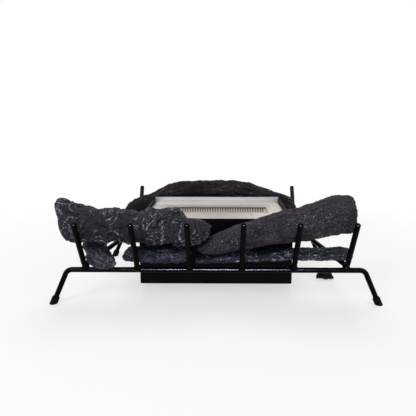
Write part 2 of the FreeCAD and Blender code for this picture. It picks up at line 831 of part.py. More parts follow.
rails = {side: side_rail(side) for side in (-1, 1)}
save("front_bar", grate_bar(front_half, front_y))
save("rear_bar", grate_bar(rear_half, rear_y))
save("left_side_rail", rails[-1])
save("right_side_rail", rails[1])
for number, x in enumerate(inner_tine_places(), start=1):
    save("front_tine_%d" % number, front_tine(x))
save("weld_beads", weld_beads(rails))
for place, side, half, y in (
    ("front_left", -1, front_half, front_y),
    ("front_right", 1, front_half, front_y),
    ("rear_left", -1, rear_half, rear_y),
    ("rear_right", 1, rear_half, rear_y),
):
    save("foot_cap_" + place, foot_cap(side, half, y))

save("housing", sheet_housing())
save("left_burner_ledge", burner_ledge(-1))
save("right_burner_ledge", burner_ledge(1))
save("ledge_rivets", ledge_rivets())
for place, (x, y) in zip(("front_left", "front_right", "rear_left", "rear_right"), foot_places()):
    save("housing_foot_" + place, housing_foot(x, y))
save("housing_foot_screws", foot_screws())

save("burner_plate", burner_plate())
save("fuel_tank", fuel_tank())
save("vapour_collar", vapour_collar())
save("fibre_wool", fibre_wool())
save("left_slide_guide", slide_guide(-1))
save("right_slide_guide", slide_guide(1))
save("regulator_slide", regulator_slide())
save("regulator_knob", regulator_knob())

save("upper_left_log", upper_left_log())
save("upper_right_log", upper_right_log())
save("lower_left_log", lower_left_log())
save("lower_right_log", lower_right_log())
save("left_stub_log", stub_log())
save("back_log", back_log())
save("loose_ember", loose_ember())
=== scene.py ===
import json
import math
import bpy
import numpy as np
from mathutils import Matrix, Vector, noise
from mathutils.bvhtree import BVHTree


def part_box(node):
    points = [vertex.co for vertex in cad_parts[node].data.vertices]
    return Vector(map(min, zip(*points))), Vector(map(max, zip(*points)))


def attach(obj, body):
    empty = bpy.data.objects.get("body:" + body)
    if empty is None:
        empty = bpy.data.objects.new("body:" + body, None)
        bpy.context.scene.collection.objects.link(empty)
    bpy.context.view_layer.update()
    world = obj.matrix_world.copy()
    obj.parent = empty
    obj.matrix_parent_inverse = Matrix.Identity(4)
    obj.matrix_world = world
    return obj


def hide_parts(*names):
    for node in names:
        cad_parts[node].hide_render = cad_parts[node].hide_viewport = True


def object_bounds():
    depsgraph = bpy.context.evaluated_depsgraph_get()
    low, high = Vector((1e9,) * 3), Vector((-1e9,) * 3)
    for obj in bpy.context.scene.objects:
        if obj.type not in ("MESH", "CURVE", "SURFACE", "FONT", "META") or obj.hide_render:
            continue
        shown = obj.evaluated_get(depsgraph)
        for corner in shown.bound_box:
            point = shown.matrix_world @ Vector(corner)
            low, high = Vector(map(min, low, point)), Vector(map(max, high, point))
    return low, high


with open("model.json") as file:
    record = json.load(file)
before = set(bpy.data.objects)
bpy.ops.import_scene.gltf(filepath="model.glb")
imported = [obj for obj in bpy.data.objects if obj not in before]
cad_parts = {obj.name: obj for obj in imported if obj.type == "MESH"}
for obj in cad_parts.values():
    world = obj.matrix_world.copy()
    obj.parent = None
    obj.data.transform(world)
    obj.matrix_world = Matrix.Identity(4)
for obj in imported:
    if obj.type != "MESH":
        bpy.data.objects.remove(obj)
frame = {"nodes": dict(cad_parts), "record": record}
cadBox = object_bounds()
nodes = frame["nodes"]
mm = 0.001
bodyOf = {}
for bodyName, members in frame["record"]["behaviour"]["bodies"].items():
    for member in members:
        bodyOf[member] = bodyName
slotOf = {}
for entry in frame["record"]["subparts"]:
    slotOf[entry["node"]] = entry["material_slot"]
print("frame loaded with", len(nodes), "nodes")


def toLinear(hexColour):
    channels = []
    for start in (1, 3, 5):
        value = int(hexColour[start:start + 2], 16) / 255
        channels.append(value / 12.92 if value <= 0.04045 else ((value + 0.055) / 1.055) ** 2.4)
    return (*channels, 1.0)


def put(tree, kind, sockets=None, stops=None, **settings):
    node = tree.nodes.new("ShaderNode" + kind)
    for name, value in settings.items():
        setattr(node, name, value)
    for key, value in (sockets or {}).items():
        if isinstance(value, bpy.types.NodeSocket):
            tree.links.new(value, node.inputs[key])
        else:
            node.inputs[key].default_value = value
    if stops:
        ramp = node.color_ramp.elements
        while len(ramp) < len(stops):
            ramp.new(0.5)
        for element, (place, colour) in zip(ramp, stops):
            element.position = place
            element.color = colour
    return node


def grey(value):
    return (value, value, value, 1.0)


def startMaterial(name):
    material = bpy.data.materials.new(name)
    material.use_nodes = True
    tree = material.node_tree
    tree.nodes.clear()
    return material, tree


def endMaterial(tree, shader):
    put(tree, "OutputMaterial", {"Surface": shader.outputs["BSDF"]})


# gloss stove enamel on rod: deep black, a thin sharp light line, slight unevenness of the sprayed coat
rodPaint = {"colour": "#030304", "dust": "#08080a", "roughness": 0.15, "roughSpread": 0.1, "gloss": 0.04,
            "sprayMm": 8.0, "pitMm": 2.5, "pitDepthMm": 0.1, "pitShare": 0.02}


def stoveEnamel():
    material, tree = startMaterial("stove_enamel_on_rod")
    place = put(tree, "TexCoord").outputs["Object"]
    spray = put(tree, "TexNoise", {"Vector": place, "Scale": 1 / (rodPaint["sprayMm"] * mm), "Detail": 3.0})
    pits = put(tree, "TexNoise", {"Vector": place, "Scale": 1 / (rodPaint["pitMm"] * mm), "Detail": 2.0})
    colour = put(tree, "ValToRGB", {"Fac": spray.outputs["Fac"]},
                 stops=[(0.45, toLinear(rodPaint["colour"])), (0.85, toLinear(rodPaint["dust"]))])
    rough = put(tree, "MapRange", {"Value": spray.outputs["Fac"], "From Min": 0.3, "From Max": 0.75,
                                   "To Min": rodPaint["roughness"],
                                   "To Max": rodPaint["roughness"] + rodPaint["roughSpread"]})
    bump = put(tree, "Bump", {"Height": pits.outputs["Fac"], "Strength": rodPaint["pitShare"],
                              "Distance": rodPaint["pitDepthMm"] * mm})
    shader = put(tree, "BsdfPrincipled",
                 {"Base Color": colour.outputs["Color"], "Roughness": rough.outputs["Result"],
                  "Normal": bump.outputs["Normal"], "Specular IOR Level": rodPaint["gloss"]})
    endMaterial(tree, shader)
    return material


# satin powder coat on folded sheet: black with a cold cast and the soft orange peel of baked powder
sheetPaint = {"colour": "#07070b", "worn": "#0f0f14", "roughness": 0.42, "roughSpread": 0.12, "gloss": 0.06,
              "cloudMm": 60.0, "peelMm": 2.2, "peelDepthMm": 0.12, "peelShare": 0.15}


def powderCoat():
    material, tree = startMaterial("powder_coat_on_sheet")
    place = put(tree, "TexCoord").outputs["Object"]
    cloud = put(tree, "TexNoise", {"Vector": place, "Scale": 1 / (sheetPaint["cloudMm"] * mm),
                                   "Detail": 5.0})
    peel = put(tree, "TexNoise", {"Vector": place, "Scale": 1 / (sheetPaint["peelMm"] * mm), "Detail": 1.0})
    colour = put(tree, "ValToRGB", {"Fac": cloud.outputs["Fac"]},
                 stops=[(0.4, toLinear(sheetPaint["colour"])), (0.8, toLinear(sheetPaint["worn"]))])
    rough = put(tree, "MapRange", {"Value": cloud.outputs["Fac"], "From Min": 0.3, "From Max": 0.7,
                                   "To Min": sheetPaint["roughness"],
                                   "To Max": sheetPaint["roughness"] + sheetPaint["roughSpread"]})
    bump = put(tree, "Bump", {"Height": peel.outputs["Fac"], "Strength": sheetPaint["peelShare"],
                              "Distance": sheetPaint["peelDepthMm"] * mm})
    shader = put(tree, "BsdfPrincipled",
                 {"Base Color": colour.outputs["Color"], "Roughness": rough.outputs["Result"],
                  "Normal": bump.outputs["Normal"], "Specular IOR Level": sheetPaint["gloss"]})
    endMaterial(tree, shader)
    return material


# brushed stainless sheet: bright grey with fine lines along the width, straw tint where the slot gets hot,
# and a painted cool blue reflection on the upturned lip; real brush lines are about 0.1 mm wide and too fine
# to show in the render, so they are drawn 0.6 mm wide; the lip is measured from the top of the regulator's
# slide
stainlessLook = {"straw": "#dccab3", "lipReflectionBlue": "#e2efff", "tankInsideShade": "#0b0a09", "roughSpread": (-0.06, 0.14),
                 "lineMm": 0.6, "lineLengthMm": 140.0, "lineDepthMm": 0.05, "lineShare": 0.12,
                 "anisotropy": 0.35, "tintReachMm": 26.0, "lipStartMm": 5.0, "lipFullMm": 8.0,
                 "wallMm": 1.0}
# the plate keeps its brushed sheen, the collar is blasted and pale, the tank is dulled, and within its walls
# it is painted near-black as painted shade
stainlessFinish = {
    "brushed_stainless_sheet": {"colour": "#e0d9d3", "dull": "#d2cbc5", "roughness": 0.36,
                                "tint": 0.3, "tankInsideShade": 0.0},
    "blasted_stainless_collar": {"colour": "#f2ede6", "dull": "#e2dcd4", "roughness": 0.6,
                                 "tint": 0.0, "tankInsideShade": 0.0},
    "heat_dulled_stainless_tank": {"colour": "#c8c5c2", "dull": "#b8b5b2", "roughness": 0.7,
                                   "tint": 0.0, "tankInsideShade": 1.0},
}


def brushedStainless(name):
    material, tree = startMaterial(name)
    finish = stainlessFinish[name]
    place = put(tree, "TexCoord").outputs["Object"]
    alongLine = 1 / (stainlessLook["lineLengthMm"] * mm)
    acrossLine = 1 / (stainlessLook["lineMm"] * mm)
    stretch = put(tree, "Mapping", {"Vector": place, "Scale": (alongLine, acrossLine, acrossLine)})
    lines = put(tree, "TexNoise", {"Vector": stretch.outputs["Vector"], "Scale": 1.0, "Detail": 3.0})
    steel = put(tree, "ValToRGB", {"Fac": lines.outputs["Fac"]},
                stops=[(0.3, toLinear(finish["dull"])), (0.62, toLinear(finish["colour"]))])
    split = put(tree, "SeparateXYZ", {"Vector": place})
    collarLow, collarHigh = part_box("vapour_collar")
    middle = (collarLow.y + collarHigh.y) / 2
    halfDepth = (collarHigh.y - collarLow.y) / 2
    offset = put(tree, "Math", {0: split.outputs["Y"], 1: middle}, operation="SUBTRACT")
    away = put(tree, "Math", {0: offset.outputs["Value"]}, operation="ABSOLUTE")
    near = put(tree, "MapRange", {"Value": away.outputs["Value"], "From Min": halfDepth,
                                  "From Max": halfDepth + stainlessLook["tintReachMm"] * mm,
                                  "To Min": finish["tint"], "To Max": 0.0})
    warmed = put(tree, "Mix", {0: near.outputs["Result"], 6: steel.outputs["Color"],
                               7: toLinear(stainlessLook["straw"])}, data_type="RGBA")
    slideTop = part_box("regulator_slide")[1].z
    # painted reflection: above the slide's top, the upturned lip is tinted cool blue
    lipReflectionShare = put(tree, "MapRange", {"Value": split.outputs["Z"],
                                 "From Min": slideTop + stainlessLook["lipStartMm"] * mm,
                                 "From Max": slideTop + stainlessLook["lipFullMm"] * mm})
    withLipReflection = put(tree, "Mix", {0: lipReflectionShare.outputs["Result"], 6: warmed.outputs[2],
                               7: toLinear(stainlessLook["lipReflectionBlue"])}, data_type="RGBA")
    # painted shade: within the tank's walls in plan, its inner faces and its bottom are painted near-black
    tankLow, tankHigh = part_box("fuel_tank")
    wall = Vector((1, 1, 1)) * stainlessLook["wallMm"] * mm
    centred = put(tree, "VectorMath", {0: place, 1: (tankLow + tankHigh) / 2}, operation="SUBTRACT")
    shares = put(tree, "VectorMath", {0: centred.outputs["Vector"], 1: (tankHigh - tankLow) / 2 - wall},
                 operation="DIVIDE")
    apart = put(tree, "VectorMath", {0: shares.outputs["Vector"]}, operation="ABSOLUTE")
    sides = put(tree, "SeparateXYZ", {"Vector": apart.outputs["Vector"]})
    widest = put(tree, "Math", {0: sides.outputs["X"], 1: sides.outputs["Y"]}, operation="MAXIMUM")
    inside = put(tree, "Math", {0: widest.outputs["Value"], 1: 1.0}, operation="LESS_THAN")
    tankInsideShade = put(tree, "Math", {0: inside.outputs["Value"], 1: finish["tankInsideShade"]}, operation="MULTIPLY")
    colour = put(tree, "Mix", {0: tankInsideShade.outputs["Value"], 6: withLipReflection.outputs[2],
                               7: toLinear(stainlessLook["tankInsideShade"])}, data_type="RGBA")
    lower, upper = stainlessLook["roughSpread"]
    rough = put(tree, "MapRange", {"Value": lines.outputs["Fac"], "From Min": 0.25, "From Max": 0.75,
                                   "To Min": finish["roughness"] + lower,
                                   "To Max": finish["roughness"] + upper})
    bump = put(tree, "Bump", {"Height": lines.outputs["Fac"], "Strength": stainlessLook["lineShare"],
                              "Distance": stainlessLook["lineDepthMm"] * mm})
    shader = put(tree, "BsdfPrincipled",
                 {"Base Color": colour.outputs[2], "Roughness": rough.outputs["Result"], "Metallic": 1.0,
                  "Normal": bump.outputs["Normal"], "Anisotropic": stainlessLook["anisotropy"]})
    endMaterial(tree, shader)
    return material


# rubber boots and feet: matt near-black moulding with a faint dusty bloom
rubberLook = {"colour": "#070707", "bloom": "#151515", "roughness": 0.62, "gloss": 0.08,
              "bloomMm": 9.0, "grainMm": 1.1, "grainDepthMm": 0.1, "grainShare": 0.2}


def mouldedRubber():
    material, tree = startMaterial("moulded_rubber")
    place = put(tree, "TexCoord").outputs["Object"]
    bloom = put(tree, "TexNoise", {"Vector": place, "Scale": 1 / (rubberLook["bloomMm"] * mm),
                                   "Detail": 4.0})
    grain = put(tree, "TexNoise", {"Vector": place, "Scale": 1 / (rubberLook["grainMm"] * mm),
                                   "Detail": 1.0})
    colour = put(tree, "ValToRGB", {"Fac": bloom.outputs["Fac"]},
                 stops=[(0.45, toLinear(rubberLook["colour"])), (0.85, toLinear(rubberLook["bloom"]))])
    bump = put(tree, "Bump", {"Height": grain.outputs["Fac"], "Strength": rubberLook["grainShare"],
                              "Distance": rubberLook["grainDepthMm"] * mm})
    shader = put(tree, "BsdfPrincipled",
                 {"Base Color": colour.outputs["Color"], "Roughness": rubberLook["roughness"],
                  "Normal": bump.outputs["Normal"], "Specular IOR Level": rubberLook["gloss"]})
    endMaterial(tree, shader)
    return material


# zinc plate on the screws: pale blue-grey, slightly patchy gloss
zincLook = {"colour": "#b3b8bc", "patch": "#8f9498", "roughness": 0.32, "patchMm": 3.0}


def zincPlate():
    material, tree = startMaterial("zinc_plated_screw")
    place = put(tree, "TexCoord").outputs["Object"]
    patch = put(tree, "TexNoise", {"Vector": place, "Scale": 1 / (zincLook["patchMm"] * mm), "Detail": 3.0})
    colour = put(tree, "ValToRGB", {"Fac": patch.outputs["Fac"]},
                 stops=[(0.35, toLinear(zincLook["patch"])), (0.65, toLinear(zincLook["colour"]))])
    shader = put(tree, "BsdfPrincipled", {"Base Color": colour.outputs["Color"], "Metallic": 1.0,
                                          "Roughness": zincLook["roughness"]})
    endMaterial(tree, shader)
    return material


# ceramic fibre: off-white felted wool, dull, with loose strands
# sinkMm is how far the felt is let in below the solid's faces, proudMm how far a tuft may pass them
fibreLook = {"colour": "#d9d3c6", "shade": "#a89f8f", "roughness": 0.95, "gloss": 0.15,
             "strandMm": 1.6, "strandLengthMm": 14.0, "strandTurn": (0.4, 0.2, 0.6), "strandDepthMm": 0.6,
             "strandShare": 0.6, "voxelMm": 2.6, "tuftMm": 16.0, "tuftStepMm": 1.6,
             "tuftNoise": (0.9, 2.0, 3), "fuzzMm": 4.0, "fuzzStepMm": 0.5, "sinkMm": 0.9, "proudMm": 0.2}


def ceramicFibre():
    material, tree = startMaterial("ceramic_fibre_felt")
    place = put(tree, "TexCoord").outputs["Object"]
    alongStrand = 1 / (fibreLook["strandLengthMm"] * mm)
    acrossStrand = 1 / (fibreLook["strandMm"] * mm)
    stretch = put(tree, "Mapping", {"Vector": place, "Rotation": fibreLook["strandTurn"],
                                    "Scale": (alongStrand, acrossStrand, acrossStrand)})
    strands = put(tree, "TexNoise", {"Vector": stretch.outputs["Vector"], "Scale": 1.0, "Detail": 4.0,
                                     "Distortion": 1.2})
    colour = put(tree, "ValToRGB", {"Fac": strands.outputs["Fac"]},
                 stops=[(0.3, toLinear(fibreLook["shade"])), (0.6, toLinear(fibreLook["colour"]))])
    bump = put(tree, "Bump", {"Height": strands.outputs["Fac"], "Strength": fibreLook["strandShare"],
                              "Distance": fibreLook["strandDepthMm"] * mm})
    shader = put(tree, "BsdfPrincipled",
                 {"Base Color": colour.outputs["Color"], "Roughness": fibreLook["roughness"],
                  "Normal": bump.outputs["Normal"], "Specular IOR Level": fibreLook["gloss"]})
    endMaterial(tree, shader)
    return material


slotMaterials = {"gloss_black_rod": stoveEnamel(), "black_sheet": powderCoat(), "black_rivet": powderCoat(),
                 "stainless": brushedStainless("brushed_stainless_sheet"), "black_rubber": mouldedRubber(),
                 "zinc_screw": zincPlate(), "fibre_wool": ceramicFibre()}
nodeMaterials = {"vapour_collar": brushedStainless("blasted_stainless_collar"),
                 "fuel_tank": brushedStainless("heat_dulled_stainless_tank")}
print("metal, rubber and fibre materials ready")


# Cast ceramic logs. Sizes in mm: bark plates, torn layers and ridges are (along, across) the log.
# patch is the noise range over which pale ash and painted highlight settle, edge and crest say how pale the
# painted highlight gets on torn edges and ridge crests, and fleck how pale the specks get.
# pulls are (place, reach, move) of a soft tug on the rough form before the bark goes on.
logLooks = {
    "upper_left_log": {"seed": (11, 3, 5), "voxel": 1.3, "plate": (30, 26), "plateStep": 1.5, "crevice": 2.0,
                       "layer": (30, 40), "layers": 2.8, "layerStep": 2.0,
                       "ridge": (30, 24), "ridgeStep": 1.4, "grit": 6.0, "gritStep": 0.45,
                       "dark": "#121118", "mid": "#24232e", "warm": "#302d38", "ashAndHighlight": "#d6d6e0",
                       "patch": (0.44, 0.56), "edge": 0.8, "crestHighlight": 0.22, "fleck": 0.65, "speck": 0.67,
                       "rough": (0.5, 0.8), "gloss": 0.18,
                       "pulls": [((-274, -112, 184), 26, (-8, 0, 2)), ((-257, -138, 138), 36, (-3, 0, -2)),
                                 ((-70, -105, 180), 15, (4, 0, 2)), ((-50, -105, 168), 14, (0, 0, -4))]},
    "upper_right_log": {"seed": (47, 9, 2), "voxel": 1.3, "plate": (70, 30), "plateStep": 0.9, "crevice": 0.7,
                        "layer": (50, 26), "layers": 2.4, "layerStep": 0.9,
                        "ridge": (44, 10), "ridgeStep": 0.9, "grit": 3.2, "gritStep": 0.95,
                        "dark": "#211e24", "mid": "#342f38", "warm": "#3d373e", "ashAndHighlight": "#a9a7ae",
                        "patch": (0.5, 0.62), "edge": 0.12, "crestHighlight": 0.3, "fleck": 0.75, "speck": 0.64,
                        "rough": (0.55, 0.85), "gloss": 0.14, "pulls": []},
    "lower_left_log": {"seed": (5, 31, 8), "voxel": 1.1, "plate": (30, 11), "plateStep": 1.0, "crevice": 1.2,
                       "layer": (18, 9), "layers": 2.6, "layerStep": 0.7,
                       "ridge": (34, 8), "ridgeStep": 1.5, "grit": 3.4, "gritStep": 0.45,
                       "dark": "#191c28", "mid": "#303547", "warm": "#363846", "ashAndHighlight": "#bcc1d0",
                       "patch": (0.46, 0.6), "edge": 0.8, "crestHighlight": 0.5, "fleck": 0.75, "speck": 0.66,
                       "rough": (0.5, 0.8), "gloss": 0.16,
                       "pulls": [((-166, -102, 82), 16, (-3, 0, -4))]},
    "lower_right_log": {"seed": (71, 13, 4), "voxel": 1.1, "plate": (60, 9), "plateStep": 0.8, "crevice": 0.9,
                        "layer": (60, 7), "layers": 3.0, "layerStep": 0.6,
                        "ridge": (60, 6), "ridgeStep": 1.3, "grit": 3.0, "gritStep": 0.4,
                        "dark": "#10131d", "mid": "#222838", "warm": "#292b37", "ashAndHighlight": "#c2cce0",
                        "patch": (0.42, 0.56), "edge": 1.0, "crestHighlight": 0.75, "fleck": 0.75, "speck": 0.67,
                        "rough": (0.45, 0.75), "gloss": 0.2, "pulls": []},
    "left_stub_log": {"seed": (19, 23, 61), "voxel": 0.9, "plate": (24, 9), "plateStep": 0.9, "crevice": 0.9,
                      "layer": (22, 7), "layers": 2.6, "layerStep": 0.7,
                      "ridge": (26, 5), "ridgeStep": 1.4, "grit": 2.8, "gritStep": 0.4,
                      "dark": "#1d1c23", "mid": "#383641", "warm": "#433f4a", "ashAndHighlight": "#b1b0bc",
                      "patch": (0.44, 0.58), "edge": 0.8, "crestHighlight": 0.5, "fleck": 0.5, "speck": 0.68,
                      "rough": (0.5, 0.8), "gloss": 0.16,
                      "pulls": [((-222, -114, 78), 24, (-7, 0, 0)), ((-184, -126, 80), 22, (5, 0, 0))]},
    "back_log": {"seed": (29, 43, 17), "voxel": 1.3, "plate": (80, 14), "plateStep": 1.2, "crevice": 1.2,
                 "layer": (90, 14), "layers": 2.8, "layerStep": 1.1,
                 "ridge": (90, 8), "ridgeStep": 2.0, "grit": 4.0, "gritStep": 0.35,
                 "dark": "#110e10", "mid": "#221c1f", "warm": "#2c2425", "ashAndHighlight": "#8d8588",
                 "patch": (0.5, 0.62), "edge": 0.25, "crestHighlight": 0.4, "fleck": 0.3, "speck": 0.7,
                 "rough": (0.4, 0.7), "gloss": 0.12, "pulls": []},
    "loose_ember": {"seed": (3, 7, 53), "voxel": 0.8, "plate": (12, 8), "plateStep": 1.4, "crevice": 1.0,
                    "layer": (12, 9), "layers": 2.0, "layerStep": 0.6,
                    "ridge": (14, 6), "ridgeStep": 1.2, "grit": 2.6, "gritStep": 0.4,
                    "dark": "#0a090b", "mid": "#141215", "warm": "#1b1819", "ashAndHighlight": "#6f6c72",
                    "patch": (0.48, 0.62), "edge": 0.2, "crestHighlight": 0.15, "fleck": 0.2, "speck": 0.7,
                    "rough": (0.55, 0.85), "gloss": 0.14, "pulls": []},
}
# How the bark's noise is bent and cut, for all logs. A warp is (reach, shift) in mm. layerRise is
# (start, width) and tornEdge (middle, width), in shares of a layer. roomShare is the share of a gap that
# bark may fill.
barkForm = {"warpSeed": 1, "axisStep": 7, "stations": 18, "plateSeed": 10, "plateWarp": (22, 7),
            "plateEdge": 0.28, "levelScale": 3.7, "ridgeNoise": (0.9, 2.1, 4, 1.0, 2.0), "ridgeMiddle": 0.95,
            "gritNoise": (0.9, 2.0, 3), "layerSeed": 6, "layerWarp": (8, 3.5), "layerRise": (0.38, 0.24),
            "tornEdge": (0.56, 0.1), "roomShare": 0.4, "smoothSteps": 8, "ridgeMm": 0.9}
# sizes of the painted marks in mm, streaks are (along, across) the log; crevice is the colour of the painted
# shade in the bark's hollows
barkMarks = {"cloudMm": 34, "streakMm": (42, 4), "patchMm": 22, "crumbMm": 3.6, "speckMm": 2.4,
             "speckSpread": 0.12, "flockMm": 26, "fineMm": 1.7, "fineDepthMm": 0.5, "fineShare": 0.5,
             "crevice": "#08080a"}


def roughCopy(node, voxelMm):
    piece = bpy.data.objects.new(node + "_bark", nodes[node].data.copy())
    bpy.context.scene.collection.objects.link(piece)
    remesh = piece.modifiers.new("remesh", "REMESH")
    remesh.mode = "VOXEL"
    remesh.voxel_size = voxelMm * mm
    graph = bpy.context.evaluated_depsgraph_get()
    mesh = bpy.data.meshes.new_from_object(piece.evaluated_get(graph))
    piece.modifiers.clear()
    piece.data = mesh
    mesh.materials.clear()
    return piece


def readPoints(mesh, what):
    values = np.empty(len(mesh.vertices) * 3)
    mesh.vertices.foreach_get(what, values)
    return values.reshape(-1, 3)


def logAxes(points):
    centred = points - points.mean(axis=0)
    axes = np.linalg.svd(centred[::barkForm["axisStep"]], full_matrices=False)[2]
    if axes[0][np.argmax(np.abs(axes[0]))] < 0:
        axes[0] = -axes[0]
    along = axes[0]
    side = np.cross((0.0, 0.0, 1.0), along)
    side /= np.linalg.norm(side)
    return np.array([along, side, np.cross(along, side)])


# places along, across and up the log in mm, with the bend of the log taken out
def barkPlaces(points):
    places = (points - points.mean(axis=0)) @ logAxes(points).T / mm
    stations = barkForm["stations"]
    edges = np.linspace(places[:, 0].min(), places[:, 0].max(), stations + 1)
    bins = np.clip(np.digitize(places[:, 0], edges) - 1, 0, stations - 1)
    middles = (edges[:-1] + edges[1:]) / 2
    for column in (1, 2):
        centres = [places[bins == station, column].mean() for station in range(stations)]
        places[:, column] -= np.interp(places[:, 0], middles, centres)
    return places


def ease(share):
    share = min(max(share, 0.0), 1.0)
    return share * share * (3 - 2 * share)


def warped(point, warp):
    reach, shift = warp
    return point + noise.noise_vector(point / reach) * shift


def shrunk(point, size):
    along, across = size
    return Vector((point.x / along, point.y / across, point.z / across))


# plates with crevices between them, ridges along the log and grit: the bark's height in mm
def barkHeight(place, look):
    shifted = Vector(place) + Vector(look["seed"]) * barkForm["plateSeed"]
    point = warped(shifted, barkForm["plateWarp"])
    gaps, centres = noise.voronoi(shrunk(point, look["plate"]))
    edge = ease((gaps[1] - gaps[0]) / barkForm["plateEdge"])
    level = noise.noise(centres[0] * barkForm["levelScale"])
    ridge = noise.ridged_multi_fractal(shrunk(point, look["ridge"]), *barkForm["ridgeNoise"])
    grit = noise.fractal(shifted / look["grit"], *barkForm["gritNoise"])
    height = look["plateStep"] * 2 * level * edge - look["crevice"] * (1 - edge)
    return height + look["ridgeStep"] * (ridge - barkForm["ridgeMiddle"]) + look["gritStep"] * grit


# torn layers of bark: how high the layer lies in mm, and how near the place is to a torn edge, from 0 to 1
def barkLayer(place, look):
    shifted = Vector(place) + Vector(look["seed"]) * barkForm["layerSeed"]
    point = warped(shifted, barkForm["layerWarp"])
    depth = noise.noise(shrunk(point, look["layer"])) * look["layers"]
    whole = math.floor(depth)
    riseStart, riseWidth = barkForm["layerRise"]
    rise = ease((depth - whole - riseStart) / riseWidth)
    tornMiddle, tornWidth = barkForm["tornEdge"]
    torn = max(1 - abs(depth - whole - tornMiddle) / tornWidth, 0.0)
    return look["layerStep"] * (whole + rise), torn


def neighbourMean(values, ends, count):
    total = np.zeros_like(values)
    for column in range(values.shape[1]):
        total[:, column] = np.bincount(ends[:, 0], values[ends[:, 1], column], count)
        total[:, column] += np.bincount(ends[:, 1], values[ends[:, 0], column], count)
    share = np.bincount(ends.ravel(), minlength=count)
    return total / share[:, None]


def neighbourTree(node):
    points = []
    faces = []
    for other, source in nodes.items():
        if other == node:
            continue
        start = len(points)
        points.extend(vertex.co for vertex in source.data.vertices)
        faces.extend([start + index for index in face.vertices] for face in source.data.polygons)
    return BVHTree.FromPolygons(points, faces)


def charredCeramic(node, look):
    material, tree = startMaterial("charred_ceramic_" + node)
    place = put(tree, "Attribute", attribute_name="barkPlace").outputs["Vector"]
    ridge = put(tree, "Attribute", attribute_name="ridge").outputs["Fac"]
    clouds = put(tree, "TexNoise", {"Vector": place, "Scale": 1 / barkMarks["cloudMm"], "Detail": 4.0,
                                    "Roughness": 0.6})
    tone = put(tree, "ValToRGB", {"Fac": clouds.outputs["Fac"]},
               stops=[(0.32, toLinear(look["dark"])), (0.5, toLinear(look["mid"])),
                      (0.68, toLinear(look["warm"]))])
    long, wide = barkMarks["streakMm"]
    stretch = put(tree, "Mapping", {"Vector": place, "Scale": (1 / long, 1 / wide, 1 / wide)})
    streaks = put(tree, "TexNoise", {"Vector": stretch.outputs["Vector"], "Scale": 1.0, "Detail": 5.0})
    streakLight = put(tree, "MapRange", {"Value": streaks.outputs["Fac"], "From Min": 0.35,
                                         "From Max": 0.68, "To Min": 0.6, "To Max": 1.35})
    streaked = put(tree, "VectorMath", {0: tone.outputs["Color"], "Scale": streakLight.outputs["Result"]},
                   operation="SCALE")
    # painted shade: the bark's hollows, where ridge is low, are darkened towards the crevice colour
    deep = put(tree, "MapRange", {"Value": ridge, "From Min": -0.7, "From Max": 0.15,
                                  "To Min": 0.9, "To Max": 0.0})
    shadedInCrevices = put(tree, "Mix", {0: deep.outputs["Result"], 6: streaked.outputs["Vector"],
                               7: toLinear(barkMarks["crevice"])}, data_type="RGBA")
    torn = put(tree, "Attribute", attribute_name="torn").outputs["Fac"]
    patches = put(tree, "TexNoise", {"Vector": place, "Scale": 1 / barkMarks["patchMm"], "Detail": 2.0,
                                     "Roughness": 0.6})
    patch = put(tree, "MapRange", {"Value": patches.outputs["Fac"], "From Min": look["patch"][0],
                                   "From Max": look["patch"][1]})
    # painted highlight: ridge crests and torn edges are lightened towards the pale ash colour, in patches and
    # crumbs
    crestHighlight = put(tree, "MapRange", {"Value": ridge, "From Min": 0.35, "From Max": 1.0,
                                   "To Max": look["crestHighlight"]})
    edge = put(tree, "Math", {0: torn, 1: look["edge"]}, operation="MULTIPLY")
    high = put(tree, "Math", {0: edge.outputs["Value"], 1: crestHighlight.outputs["Result"]}, operation="MAXIMUM")
    settledAshAndHighlight = put(tree, "Math", {0: patch.outputs["Result"], 1: high.outputs["Value"]},
                  operation="MULTIPLY")
    crumbs = put(tree, "TexNoise", {"Vector": place, "Scale": 1 / barkMarks["crumbMm"], "Detail": 3.0,
                                    "Roughness": 0.7})
    crumb = put(tree, "MapRange", {"Value": crumbs.outputs["Fac"], "From Min": 0.44, "From Max": 0.6})
    ashAndHighlight = put(tree, "Math", {0: settledAshAndHighlight.outputs["Value"], 1: crumb.outputs["Result"]}, operation="MULTIPLY")
    specks = put(tree, "TexNoise", {"Vector": place, "Scale": 1 / barkMarks["speckMm"], "Detail": 1.0})
    fleck = put(tree, "MapRange", {"Value": specks.outputs["Fac"], "From Min": look["speck"],
                                   "From Max": look["speck"] + barkMarks["speckSpread"],
                                   "To Max": look["fleck"]})
    flocks = put(tree, "TexNoise", {"Vector": place, "Scale": 1 / barkMarks["flockMm"], "Detail": 2.0})
    flock = put(tree, "MapRange", {"Value": flocks.outputs["Fac"], "From Min": 0.42, "From Max": 0.58,
                                   "To Min": 0.2})
    dust = put(tree, "Math", {0: fleck.outputs["Result"], 1: flock.outputs["Result"]}, operation="MULTIPLY")
    pale = put(tree, "Math", {0: ashAndHighlight.outputs["Value"], 1: dust.outputs["Value"]}, operation="MAXIMUM")
    colour = put(tree, "Mix", {0: pale.outputs["Value"], 6: shadedInCrevices.outputs[2],
                               7: toLinear(look["ashAndHighlight"])}, data_type="RGBA")
    rough = put(tree, "MapRange", {"Value": streaks.outputs["Fac"], "From Min": 0.3, "From Max": 0.7,
                                   "To Min": look["rough"][0], "To Max": look["rough"][1]})
    fine = put(tree, "TexNoise", {"Vector": place, "Scale": 1 / barkMarks["fineMm"], "Detail": 3.0})
    bump = put(tree, "Bump", {"Height": fine.outputs["Fac"], "Strength": barkMarks["fineShare"],
                              "Distance": barkMarks["fineDepthMm"] * mm})
    shader = put(tree, "BsdfPrincipled",
                 {"Base Color": colour.outputs[2], "Roughness": rough.outputs["Result"],
                  "Normal": bump.outputs["Normal"], "Specular IOR Level": look["gloss"]})
    endMaterial(tree, shader)
    return material


